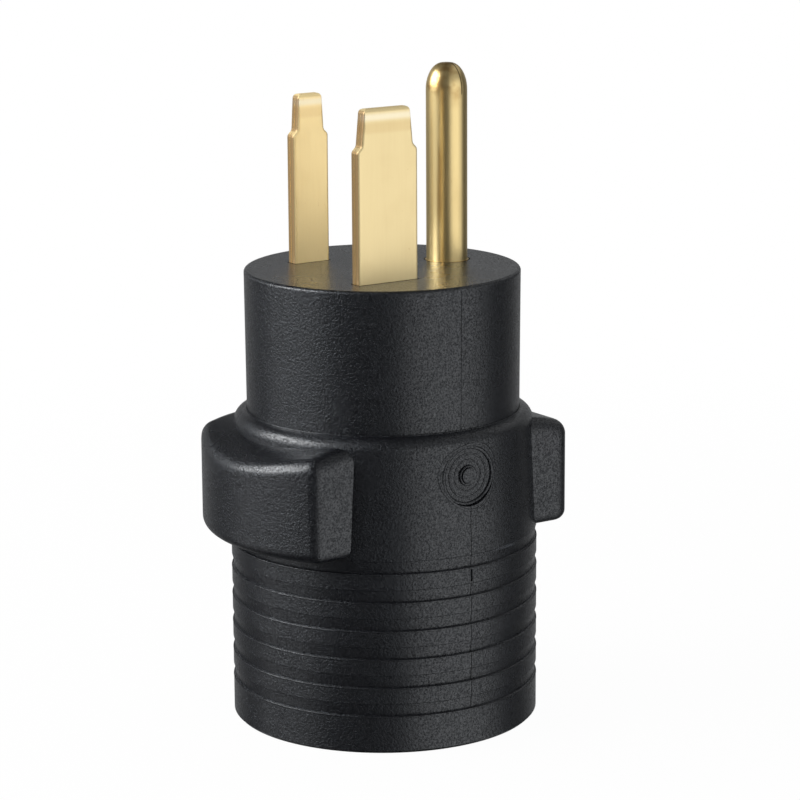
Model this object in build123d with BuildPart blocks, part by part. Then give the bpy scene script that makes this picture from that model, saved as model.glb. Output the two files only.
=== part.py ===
"""Plug adapter with a moulded grip: two flat blades and an earth pin above, a socket below.

Millimetres. The adapter stands on the rim of its socket end at z = 0, with the prongs up (+Z).
X is square to the faces of the blades, and Y runs along their width, towards the earth pin.
"""

from build123d import *
import os
from math import atan2, dist, hypot, sqrt, tan

os.makedirs("parts", exist_ok=True)

# Grip body, outside
barrel_wall = 3.9
shoulder_draft = 0.6
rim_chamfer = 0.4

# Finger wings on the grip body, at both ends of Y
wing_proud = 4.4
wing_half_width = 16.6
wing_drop = 1.35
wing_height = 16.95
wing_crown_start = 15.4
wing_crown_radius = 22.7
wing_top_round = 2.3
wing_bottom_round = 1.7
wing_corner_round = 2.5

# Grip rings moulded into the barrel, above a plain skirt; their height is a share of the pitch
ring_count = 6
ring_drop = 2.1
plain_skirt = 5.82
ring_share = 0.42
ring_depth = 0.32
ring_lip = 0.1

# Plain moulding marks on the +X side: a round dimple and a short notch on the mould line
mark_drop = 6.5
mark_radius = 4.6
mark_depth = 0.3
mark_button_radius = 1.2
notch_width = 0.35
notch_share = 0.43
notch_depth = 0.3

# Plug nose and the inner capsule: its skirt stands on the socket insert, under the grip body
nose_reach = 21.7
nose_flare = 0.15
nose_edge_round = 0.5
nose_seat = 3.3
nose_wall = 6.0
nose_ledge = 1.2
skirt_wall = 1.8
corner_room = 0.3
bridge_thickness = 4.5

# Prongs
blade_spacing = 21.3
blade_row = -6.5
blade_ply = 1.0
blade_seam = 0.1
blade_reach = 26.0
blade_shoulder = 19.7
blade_step = 0.75
blade_taper = 0.05
blade_tip_round = 0.8
blade_pinch = 0.15
blade_pinch_height = 3.0
blade_fold_round = 0.7
blade_edge_round = 0.45
blade_ear = 1.5
blade_ear_height = 3.0
wide_blade_width = 10.6
narrow_blade_width = 6.35
pin_row = 12.0
pin_radius = 3.18
pin_seat_radius = 3.4
pin_reach = 30.4
pin_dome = 4.1
pin_tip_radius = 0.6
pin_collar_radius = 4.4
pin_collar_height = 2.0

# Socket end
face_recess = 1.0
lip_width = 1.3
face_wall = 4.0
insert_height = 21.0
contact_spacing = 12.7
contact_row = -4.4
earth_row = 7.5
slot_width = 2.0
narrow_slot_length = 7.0
wide_slot_length = 8.2
earth_hole_radius = 2.75
pocket_margin = 0.3
retainer_thickness = 3.0

# Contacts
sheet = 0.8
leaf_gap = 1.4
leaf_mouth = 2.6
leaf_flare = 1.6
narrow_leaf_width = 6.4
wide_leaf_width = 8.6
earth_grip_radius = 2.35
earth_slit = 0.7
earth_collar_height = 3.0
spring_wall = 0.5
spring_height = 2.4
spring_lift = 3.0
crimp_height = 6.0
crimp_seam = 0.5
tail_width = 2.6
tail_drop = 3.0
tail_overlap = 1.0

# Leads
lead_radius = 1.35
jacket_wall = 0.85
lead_room = 18.5
lead_entry = 5.0
lead_straight = 3.5
lead_fill = 0.45
jacket_bare = 0.6
sleeve_wall = 0.5
sleeve_overlap = 2.5

# Screws
screw_radius = 1.25
screw_head_radius = 2.4
screw_head_height = 1.6
screw_length = 8.0
screw_slot_width = 0.6
screw_slot_depth = 0.8
screw_margin = 1.0
screw_spacing = 2.2

# Fits
slip = 0.05
push = 0.1

# Radii, from the ears of the wide blade out to the wings
blade_thickness = 2 * blade_ply + blade_seam
ear_x = (blade_spacing + blade_thickness) / 2
ear_y = wide_blade_width / 2 + blade_ear - blade_row
skirt_inner = hypot(ear_x, ear_y) + corner_room
capsule_radius = skirt_inner + skirt_wall
nose_foot_radius = capsule_radius + nose_ledge
nose_radius = nose_foot_radius + nose_flare
seat_radius = nose_foot_radius + slip
barrel_radius = capsule_radius + barrel_wall
shoulder_radius = barrel_radius - shoulder_draft
shoulder_round = shoulder_radius - seat_radius
wing_radius = barrel_radius + wing_proud

# Heights, from the rim up to the prong face
insert_top = face_recess + insert_height
pocket_floor = face_recess + face_wall
retainer_top = insert_top + retainer_thickness
contact_crimp_bottom = insert_top + tail_overlap
contact_crimp_top = contact_crimp_bottom + crimp_height
prong_crimp_bottom = contact_crimp_top + lead_room
prong_crimp_top = prong_crimp_bottom + crimp_height
ear_bottom = prong_crimp_top + tail_drop
bridge_bottom = ear_bottom + blade_ear_height
bridge_top = bridge_bottom + bridge_thickness
nose_top = bridge_top + nose_wall
body_height = nose_top - nose_reach
seat_height = body_height - nose_seat
wing_top = body_height - wing_drop
wing_bottom = wing_top - wing_height
ring_first = wing_bottom - ring_drop
ring_pitch = (ring_first - plain_skirt) / (ring_count - 1)
ring_height = ring_share * ring_pitch
mark_height = body_height - mark_drop

# Crimp barrels at the two ends of the leads
bore_radius = lead_radius + slip
prong_crimp_radius = bore_radius + blade_ply
prong_crimp_x = blade_spacing / 2 - blade_seam / 2 - blade_ply - bore_radius
leaf_outside = leaf_gap / 2 + sheet
contact_crimp_x = contact_spacing / 2 + leaf_outside + bore_radius
earth_barrel_radius = earth_grip_radius + sheet
earth_crimp_row = earth_row + earth_grip_radius - bore_radius
tail_hole_radius = hypot(bore_radius + sheet, tail_width / 2) + push

# Screw places along Y
edge_screw_row = skirt_inner - screw_head_radius - screw_margin
inner_screw_row = pin_row - pin_collar_radius - screw_head_radius - screw_spacing
bridge_screw_rows = -edge_screw_row, inner_screw_row
retainer_screw_rows = -edge_screw_row, edge_screw_row

# Lead ends and knees, from the contact end up
lead_bottom = contact_crimp_top - lead_entry
jacket_bottom = contact_crimp_top + jacket_bare
lower_knee = jacket_bottom + lead_straight
jacket_top = prong_crimp_bottom - jacket_bare
upper_knee = jacket_top - lead_straight
lead_top = prong_crimp_bottom + lead_entry

# Places: (x, y) of each lead's contact end and prong end, and (side, width) of each flat prong
wide_ends = (contact_crimp_x, contact_row), (prong_crimp_x, blade_row)
narrow_ends = (-contact_crimp_x, contact_row), (-prong_crimp_x, blade_row)
earth_ends = (0, earth_crimp_row), (0, pin_row)
blades = (1, wide_blade_width), (-1, narrow_blade_width)
leaf_sets = (1, wide_leaf_width), (-1, narrow_leaf_width)


def export(name, label):
    """Label a finished piece and write its STEP file."""
    name.part.label = label
    export_step(name.part, f"parts/{label}.step")


def body_side():
    """Points of the grip body's outside, from the axis round the rim up to the shoulder."""
    points = [(0, 0), (barrel_radius - rim_chamfer, 0), (barrel_radius, rim_chamfer)]
    for i in reversed(range(ring_count)):
        ledge = ring_first - i * ring_pitch
        points += [
            (barrel_radius, ledge - ring_lip),
            (barrel_radius - ring_depth, ledge + ring_lip),
            (barrel_radius - ring_depth / 4, ledge + ring_height),
            (barrel_radius, ledge + ring_height + ring_lip),
        ]
    return points + [(shoulder_radius, body_height - shoulder_round)]


def prong_holes(clearance):
    """Holes for the two blades and the earth pin, in the sketch that is open."""
    for side, width in blades:
        with Locations((side * blade_spacing / 2, blade_row)):
            Rectangle(blade_thickness + 2 * clearance, width + 2 * clearance)
    with Locations((0, pin_row)):
        Circle(pin_seat_radius + clearance)


def screw_holes(rows, radius):
    """Round holes at the given places along Y, in the sketch that is open."""
    with Locations(*[(0, row) for row in rows]):
        Circle(radius)


def crimp_section(wall, seam_angle):
    """Ring section of a crimp barrel, open at one side, in the sketch that is open."""
    Circle(bore_radius + wall)
    Circle(bore_radius, mode=Mode.SUBTRACT)
    Rectangle(
        bore_radius + 2 * wall,
        crimp_seam,
        rotation=seam_angle,
        align=(Align.MIN, Align.CENTER),
        mode=Mode.SUBTRACT,
    )


# Grip body: the wings are rounded first, then the barrel covers their roots
drafted_height = body_height - shoulder_round - ring_first
mark_share = (body_height - shoulder_round - mark_height) / drafted_height
mark_surface = shoulder_radius + mark_share * (barrel_radius - shoulder_radius)
mark_floor = sqrt(mark_surface**2 - mark_radius**2) - mark_depth / 2
notch_middle = ring_first - (ring_pitch - ring_height) / 2

with BuildPart() as grip_body:
    with BuildSketch(Plane.XY.offset(wing_bottom)):
        Circle(wing_radius)
        Rectangle(2 * wing_half_width, 2 * wing_radius, mode=Mode.INTERSECT)
    extrude(amount=wing_height)
    fillet(grip_body.edges().filter_by(Axis.Z), wing_corner_round)
    # The tops are flat near the nose and fall away in a round crown towards both ends of Y
    with BuildSketch(Plane.YZ):
        with Locations((0, wing_top)):
            Rectangle(2 * wing_crown_start, wing_height, align=(Align.CENTER, Align.MAX))
        with Locations(*[(end * wing_crown_start, wing_top - wing_crown_radius) for end in (-1, 1)]):
            Circle(wing_crown_radius)
    extrude(amount=wing_half_width, both=True, mode=Mode.INTERSECT)
    wing_tops = grip_body.faces().sort_by(Axis.Z)[-3:]
    fillet(wing_tops.edges().filter_by(Axis.X, reverse=True), wing_top_round)
    fillet(grip_body.edges().group_by(Axis.Z)[0], wing_bottom_round)
    with BuildSketch(Plane.XZ):
        with BuildLine():
            Polyline(*body_side())
            JernArc(body_side()[-1], (0, 1), shoulder_round, 90)
            Polyline((seat_radius, body_height), (0, body_height), (0, 0))
        make_face()
    revolve(axis=Axis.Z)
    with BuildSketch(Plane.XY):
        Circle(capsule_radius - lip_width)
    extrude(amount=body_height, mode=Mode.SUBTRACT)
    with BuildSketch(Plane.XY.offset(face_recess)):
        Circle(capsule_radius + slip)
    extrude(amount=body_height, mode=Mode.SUBTRACT)
    with BuildSketch(Plane.XY.offset(seat_height)):
        Circle(seat_radius)
    extrude(amount=nose_seat, mode=Mode.SUBTRACT)
    with BuildSketch(Plane.YZ.offset(mark_floor)):
        with Locations((0, mark_height)):
            Circle(mark_radius)
            Circle(mark_button_radius, mode=Mode.SUBTRACT)
    extrude(amount=barrel_radius, mode=Mode.SUBTRACT)
    with BuildSketch(Plane.YZ.offset(barrel_radius - notch_depth)):
        with Locations((0, notch_middle)):
            Rectangle(notch_width, notch_share * ring_pitch)
    extrude(amount=barrel_radius, mode=Mode.SUBTRACT)
export(grip_body, "grip_body")

# Plug nose: the prong face and the skirt that reaches down to the socket insert
with BuildPart() as plug_nose:
    with BuildSketch(Plane.XZ):
        with BuildLine():
            Polyline(
                (0, nose_top),
                (nose_radius, nose_top),
                (nose_foot_radius, body_height),
                (nose_foot_radius, seat_height),
                (capsule_radius, seat_height),
                (capsule_radius, insert_top),
                (skirt_inner, insert_top),
                (skirt_inner, bridge_top),
                (0, bridge_top),
                close=True,
            )
        make_face()
    revolve(axis=Axis.Z)
    fillet(plug_nose.edges().group_by(Axis.Z)[-1], nose_edge_round)
    with BuildSketch(Plane.XY.offset(bridge_top)):
        prong_holes(push)
    extrude(amount=nose_wall, mode=Mode.SUBTRACT)
    with BuildSketch(Plane.XY.offset(bridge_top)):
        screw_holes(bridge_screw_rows, screw_radius)
    extrude(amount=screw_length - bridge_thickness, mode=Mode.SUBTRACT)
export(plug_nose, "plug_nose")

# Bridge screwed under the prong face: it holds the ears of the blades and the pin's collar
with BuildPart() as prong_bridge:
    with BuildSketch(Plane.XY.offset(bridge_bottom)):
        Circle(skirt_inner - push)
    extrude(amount=bridge_thickness)
    with BuildSketch(Plane.XY.offset(bridge_bottom)):
        prong_holes(push)
        screw_holes(bridge_screw_rows, screw_radius + push)
    extrude(amount=bridge_thickness, mode=Mode.SUBTRACT)
export(prong_bridge, "prong_bridge")


def screws(rows, seat, turn):
    """Pan-head screws along Y with their heads under the seat height, turned about X."""
    with BuildPart() as group:
        with Locations(*[Location((0, row, seat), (turn, 0, 0)) for row in rows]):
            Cylinder(screw_radius, screw_length, align=(Align.CENTER, Align.CENTER, Align.MIN))
            head_align = (Align.CENTER, Align.CENTER, Align.MAX)
            Cylinder(screw_head_radius, screw_head_height, align=head_align)
        far_side = Axis.Z if turn else -Axis.Z
        fillet(group.edges().group_by(far_side)[-1], screw_head_height / 2)
        with Locations(*[Location((0, row, seat), (turn, 0, 0)) for row in rows]):
            with Locations((0, 0, -screw_head_height)):
                Box(
                    2 * screw_head_radius,
                    screw_slot_width,
                    screw_slot_depth,
                    align=(Align.CENTER, Align.CENTER, Align.MIN),
                    mode=Mode.SUBTRACT,
                )
    return group


export(screws(bridge_screw_rows, bridge_bottom, 0), "bridge_screws")
export(screws(retainer_screw_rows, retainer_top, 180), "retainer_screws")


def blade(side, width):
    """Folded blade on one side of X: two plies closed at the tip, ears and a crimp below."""
    middle = side * blade_spacing / 2
    shoulder = nose_top + blade_shoulder
    tip = nose_top + blade_reach
    neck = width / 2 - blade_step
    with BuildPart() as piece:
        with BuildSketch(Plane.YZ.offset(middle)) as outline:
            with BuildLine(Location((blade_row, 0))):
                Polyline(
                    (width / 2, bridge_bottom),
                    (width / 2, shoulder),
                    (neck, shoulder + blade_step),
                    (neck - blade_taper * width, tip),
                    (blade_taper * width - neck, tip),
                    (-neck, shoulder + blade_step),
                    (-width / 2, shoulder),
                    (-width / 2, bridge_bottom),
                    close=True,
                )
            make_face()
            fillet(outline.vertices().group_by(Axis.Y)[-1], blade_tip_round)
            fillet(outline.vertices().group_by(Axis.Y)[2], blade_step)
            fillet(outline.vertices().group_by(Axis.Y)[1], blade_step)
        extrude(amount=blade_thickness / 2, both=True)
        for face in piece.faces().filter_by(Axis.X):
            fillet(face.edges().sort_by(Axis.Z)[1:], blade_edge_round)
        with BuildSketch(Plane.XZ.offset(-blade_row)) as section:
            with BuildLine(Location((middle, 0))):
                Polyline(
                    (blade_thickness / 2, bridge_bottom),
                    (blade_thickness / 2, tip - blade_pinch_height),
                    (blade_thickness / 2 - blade_pinch, tip),
                    (blade_pinch - blade_thickness / 2, tip),
                    (-blade_thickness / 2, tip - blade_pinch_height),
                    (-blade_thickness / 2, bridge_bottom),
                    close=True,
                )
            make_face()
            fillet(section.vertices().group_by(Axis.Y)[-1], blade_fold_round)
        extrude(amount=width, both=True, mode=Mode.INTERSECT)
        with BuildSketch(Plane.XY.offset(ear_bottom)):
            with Locations((middle, blade_row)):
                Rectangle(blade_thickness, width + 2 * blade_ear)
        extrude(amount=blade_ear_height)
        with BuildSketch(Plane.XY.offset(ear_bottom)):
            with Locations((middle, blade_row)):
                Rectangle(blade_seam, width + 2 * blade_ear)
        extrude(amount=tip - blade_fold_round - ear_bottom, mode=Mode.SUBTRACT)
        with BuildSketch(Plane.XY.offset(prong_crimp_top - tail_overlap)):
            with Locations((middle - side * (blade_seam + blade_ply) / 2, blade_row)):
                Rectangle(blade_ply, tail_width)
        extrude(amount=tail_drop + tail_overlap)
        with BuildSketch(Plane.XY.offset(prong_crimp_bottom)):
            with Locations((side * prong_crimp_x, blade_row)):
                crimp_section(blade_ply, 90 + 90 * side)
        extrude(amount=crimp_height)
    return piece


export(blade(1, wide_blade_width), "wide_blade")
export(blade(-1, narrow_blade_width), "narrow_blade")

# Earth pin: its collar sits under the bridge, its tail is drilled for the lead
with BuildPart() as ground_pin:
    with BuildSketch(Plane.XZ.offset(-pin_row)):
        with BuildLine():
            Polyline(
                (0, nose_top + pin_reach),
                (0, prong_crimp_bottom),
                (prong_crimp_radius, prong_crimp_bottom),
                (prong_crimp_radius, bridge_bottom - pin_collar_height),
                (pin_collar_radius, bridge_bottom - pin_collar_height),
                (pin_collar_radius, bridge_bottom),
                (pin_seat_radius, bridge_bottom),
                (pin_seat_radius, nose_top),
                (pin_radius, nose_top),
                (pin_radius, nose_top + pin_reach - pin_dome),
            )
            EllipticalCenterArc(
                (pin_tip_radius, nose_top + pin_reach - pin_dome),
                pin_radius - pin_tip_radius,
                pin_dome,
                start_angle=0,
                arc_size=90,
            )
            Line((pin_tip_radius, nose_top + pin_reach), (0, nose_top + pin_reach))
        make_face()
    revolve(axis=Axis((0, pin_row, 0), (0, 0, 1)))
    with BuildSketch(Plane.XY.offset(prong_crimp_bottom)):
        with Locations((0, pin_row)):
            Circle(bore_radius)
    extrude(amount=crimp_height, mode=Mode.SUBTRACT)
export(ground_pin, "ground_pin")

# Socket insert: the socket face, with a pocket behind each opening
with BuildPart() as socket_insert:
    with BuildSketch(Plane.XY.offset(face_recess)):
        Circle(capsule_radius)
    extrude(amount=insert_height)
    with BuildSketch(Plane.XY.offset(pocket_floor)):
        for side, width in leaf_sets:
            with Locations((side * contact_spacing / 2, contact_row)):
                Rectangle(leaf_mouth + 2 * sheet + 2 * pocket_margin, width + 2 * pocket_margin)
        with Locations((0, earth_row)):
            Circle(earth_barrel_radius + spring_wall + pocket_margin)
    extrude(amount=insert_height, mode=Mode.SUBTRACT)
    with BuildSketch(Plane.XY.offset(face_recess)):
        with Locations((contact_spacing / 2, contact_row)):
            Rectangle(slot_width, wide_slot_length)
        with Locations((-contact_spacing / 2, contact_row)):
            Rectangle(slot_width, narrow_slot_length)
        with Locations((0, earth_row)):
            Circle(earth_hole_radius)
    extrude(amount=face_wall, mode=Mode.SUBTRACT)
    with BuildSketch(Plane.XY.offset(insert_top + retainer_thickness - screw_length)):
        screw_holes(retainer_screw_rows, screw_radius)
    extrude(amount=screw_length, mode=Mode.SUBTRACT)
export(socket_insert, "socket_insert")

# Retainer screwed on top of the insert, to keep the contacts in their pockets
with BuildPart() as contact_retainer:
    with BuildSketch(Plane.XY.offset(insert_top)):
        Circle(skirt_inner - push)
    extrude(amount=retainer_thickness)
    with BuildSketch(Plane.XY.offset(insert_top)):
        with Locations(*[foot for foot, head in (wide_ends, narrow_ends, earth_ends)]):
            Circle(tail_hole_radius)
        screw_holes(retainer_screw_rows, screw_radius + push)
    extrude(amount=retainer_thickness, mode=Mode.SUBTRACT)
export(contact_retainer, "contact_retainer")


def leaf_contact(side, width):
    """Two spring leaves for one blade of a plug, with a crimp above the outer leaf."""
    middle = side * contact_spacing / 2
    with BuildPart() as piece:
        with BuildSketch(Plane.XZ.offset(-contact_row)):
            with BuildLine(Location((middle, 0))):
                Polyline(
                    (-leaf_mouth / 2 - sheet, pocket_floor),
                    (-leaf_outside, pocket_floor + leaf_flare),
                    (-leaf_outside, insert_top),
                    (leaf_outside, insert_top),
                    (leaf_outside, pocket_floor + leaf_flare),
                    (leaf_mouth / 2 + sheet, pocket_floor),
                    (leaf_mouth / 2, pocket_floor),
                    (leaf_gap / 2, pocket_floor + leaf_flare),
                    (leaf_gap / 2, insert_top - sheet),
                    (-leaf_gap / 2, insert_top - sheet),
                    (-leaf_gap / 2, pocket_floor + leaf_flare),
                    (-leaf_mouth / 2, pocket_floor),
                    close=True,
                )
            make_face()
        extrude(amount=width / 2, both=True)
        with BuildSketch(Plane.XY.offset(insert_top)):
            with Locations((middle + side * (leaf_gap + sheet) / 2, contact_row)):
                Rectangle(sheet, tail_width)
        extrude(amount=2 * tail_overlap)
        with BuildSketch(Plane.XY.offset(contact_crimp_bottom)):
            with Locations((side * contact_crimp_x, contact_row)):
                crimp_section(sheet, 90 - 90 * side)
        extrude(amount=crimp_height)
    return piece


export(leaf_contact(1, wide_leaf_width), "wide_contact")
export(leaf_contact(-1, narrow_leaf_width), "narrow_contact")

# Earth contact: a split barrel with a crimp above its outer wall
with BuildPart() as earth_contact:
    with BuildSketch(Plane.XY.offset(pocket_floor)):
        with Locations((0, earth_row)):
            Circle(earth_barrel_radius)
            Circle(earth_grip_radius, mode=Mode.SUBTRACT)
            Rectangle(2 * earth_barrel_radius, earth_slit, mode=Mode.SUBTRACT)
    extrude(amount=insert_top - earth_collar_height - pocket_floor)
    with BuildSketch(Plane.XY.offset(insert_top - earth_collar_height)):
        with Locations((0, earth_row)):
            Circle(earth_barrel_radius)
            Circle(earth_grip_radius, mode=Mode.SUBTRACT)
    extrude(amount=earth_collar_height)
    with BuildSketch(Plane.XY.offset(insert_top)):
        with Locations((0, earth_row + earth_grip_radius + sheet / 2)):
            Rectangle(tail_width, sheet)
    extrude(amount=2 * tail_overlap)
    with BuildSketch(Plane.XY.offset(contact_crimp_bottom)):
        with Locations((0, earth_crimp_row)):
            crimp_section(sheet, -90)
    extrude(amount=crimp_height)
export(earth_contact, "earth_contact")

# Steel ring that keeps the halves of the earth contact's barrel together
with BuildPart() as earth_spring:
    with BuildSketch(Plane.XY.offset(pocket_floor + spring_lift)):
        with Locations((0, earth_row)):
            Circle(earth_barrel_radius + slip + spring_wall)
            Circle(earth_barrel_radius + slip, mode=Mode.SUBTRACT)
    extrude(amount=spring_height)
export(earth_spring, "earth_spring")


def lead_run(ends, bottom, top, outer, inner):
    """Round lead or jacket: up out of the contact, across at a slant, and up to the prong."""
    foot, head = ends
    turn = atan2(dist(foot, head), upper_knee - lower_knee)
    bend = lead_fill * lead_straight / tan(turn / 2)
    knees = (*foot, lower_knee), (*head, upper_knee)
    with BuildPart() as piece:
        with BuildLine():
            FilletPolyline((*foot, bottom), *knees, (*head, top), radius=[bend, bend])
        with BuildSketch(Plane.XY.offset(bottom)):
            with Locations(foot):
                Circle(outer)
                if inner:
                    Circle(inner, mode=Mode.SUBTRACT)
        sweep()
    return piece


for place, ends in (("wide", wide_ends), ("narrow", narrow_ends), ("earth", earth_ends)):
    lead = lead_run(ends, lead_bottom, lead_top, lead_radius, 0)
    export(lead, f"{place}_lead")
    jacket = lead_run(ends, jacket_bottom, jacket_top, lead_radius + jacket_wall, lead_radius)
    export(jacket, f"{place}_jacket")
    with BuildPart() as sleeve:
        with BuildSketch(Plane.XY.offset(prong_crimp_bottom - sleeve_overlap)):
            with Locations(ends[1]):
                Circle(prong_crimp_radius + slip + sleeve_wall)
                Circle(prong_crimp_radius + slip, mode=Mode.SUBTRACT)
        extrude(amount=sleeve_overlap + crimp_height - tail_overlap)
    export(sleeve, f"{place}_sleeve")
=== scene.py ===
"""Looks of the plug adapter: finishes, fine moulded detail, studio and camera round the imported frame.

Metres. The adapter stands on the rim of its socket end at z = 0 with its prongs up (+Z). X is
square to the faces of the blades, and Y runs along their width, towards the earth pin.
"""

import logging
import math
from dataclasses import dataclass
from enum import Enum
from typing import Any, Dict, List, Optional, Tuple, Union

import bpy
import numpy as np
from mathutils import Matrix, Vector


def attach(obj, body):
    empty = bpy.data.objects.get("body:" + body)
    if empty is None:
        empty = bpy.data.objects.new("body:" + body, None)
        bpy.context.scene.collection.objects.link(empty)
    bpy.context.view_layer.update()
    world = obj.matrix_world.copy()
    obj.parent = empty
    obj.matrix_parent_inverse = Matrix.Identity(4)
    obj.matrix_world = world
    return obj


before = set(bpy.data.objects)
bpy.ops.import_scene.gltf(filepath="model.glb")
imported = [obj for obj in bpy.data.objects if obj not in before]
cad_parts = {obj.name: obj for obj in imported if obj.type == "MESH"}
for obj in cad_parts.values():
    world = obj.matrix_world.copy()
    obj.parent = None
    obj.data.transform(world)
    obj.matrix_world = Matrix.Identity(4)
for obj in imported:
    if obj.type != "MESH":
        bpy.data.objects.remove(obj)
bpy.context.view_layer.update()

log = logging.getLogger("plug_adapter")

MM = 0.001
BODY = "root"
Colour = Tuple[float, float, float]
Pair = Tuple[float, float]
Triple = Tuple[float, float, float]
Operand = Union["Value", float]


def linear(red: int, green: int, blue: int) -> Colour:
    """Turns a colour of 0 to 255 steps, as a screen shows it, into linear light.

    Args:
        red: Red step.
        green: Green step.
        blue: Blue step.

    Returns:
        The three linear values, from 0 to 1.
    """
    steps = (c / 255 for c in (red, green, blue))
    return tuple(c / 12.92 if c <= 0.04045 else ((c + 0.055) / 1.055) ** 2.4 for c in steps)


class Value:
    """A shader socket that is written in ordinary expressions, each of which adds its Math node."""

    def __init__(self, shader: "Shader", socket: bpy.types.NodeSocket) -> None:
        """Keeps the shader that grows and the socket that gives the value."""
        self.shader = shader
        self.socket = socket

    def _math(self, operation: str, first: Operand, second: Optional[Operand] = None) -> "Value":
        """Adds one Math node.

        Args:
            operation: The node's operation.
            first: The first input, a number or a Value.
            second: The second input, if the operation has one.

        Returns:
            The node's result.
        """
        inputs = {i: v for i, v in enumerate((first, second)) if v is not None}
        return self.shader.node("ShaderNodeMath", {"operation": operation}, inputs)[0]

    def __add__(self, other: Operand) -> "Value":
        """This value plus another."""
        return self._math("ADD", self, other)

    __radd__ = __add__

    def __sub__(self, other: Operand) -> "Value":
        """This value less another."""
        return self._math("SUBTRACT", self, other)

    def __rsub__(self, other: Operand) -> "Value":
        """Another value less this one."""
        return self._math("SUBTRACT", other, self)

    def __mul__(self, other: Operand) -> "Value":
        """This value times another."""
        return self._math("MULTIPLY", self, other)

    __rmul__ = __mul__

    def __abs__(self) -> "Value":
        """The value without its sign."""
        return self._math("ABSOLUTE", self)

    def root(self) -> "Value":
        """The square root."""
        return self._math("SQRT", self)

    def over(self, low: float, high: float) -> "Value":
        """A smooth step.

        Args:
            low: Where the step starts.
            high: Where it is complete; below low for a falling step.

        Returns:
            A mask from 0 to 1.
        """
        start, end = (0.0, 1.0) if high > low else (1.0, 0.0)
        inputs = {0: self, 1: min(low, high), 2: max(low, high), 3: start, 4: end}
        settings = {"interpolation_type": "SMOOTHSTEP", "clamp": True}
        return self.shader.node("ShaderNodeMapRange", settings, inputs)[0]

    def smaller(self, other: Operand) -> "Value":
        """The smaller of two values."""
        return self._math("MINIMUM", self, other)


@dataclass(frozen=True)
class Pattern:
    """A noise of a real size, as a finish's grain, marks or clouds.

    Its size is about the width of one of its grains, detail the octaves of finer noise and
    roughness their strength, and stretch how many times longer the grains are along each axis.
    The seed is an offset, so that two noises differ. A band keeps a part of its range only.
    """

    size: float
    detail: float = 2.0
    stretch: Triple = (1.0, 1.0, 1.0)
    seed: float = 0.0
    roughness: float = 0.5
    band: Optional[Pair] = None


class Ray(Enum):
    """The kinds of ray that the Light Path node tells apart, by the number of its output."""

    CAMERA = 0
    DIFFUSE = 2
    GLOSSY = 3
    TRANSMISSION = 6


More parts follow.
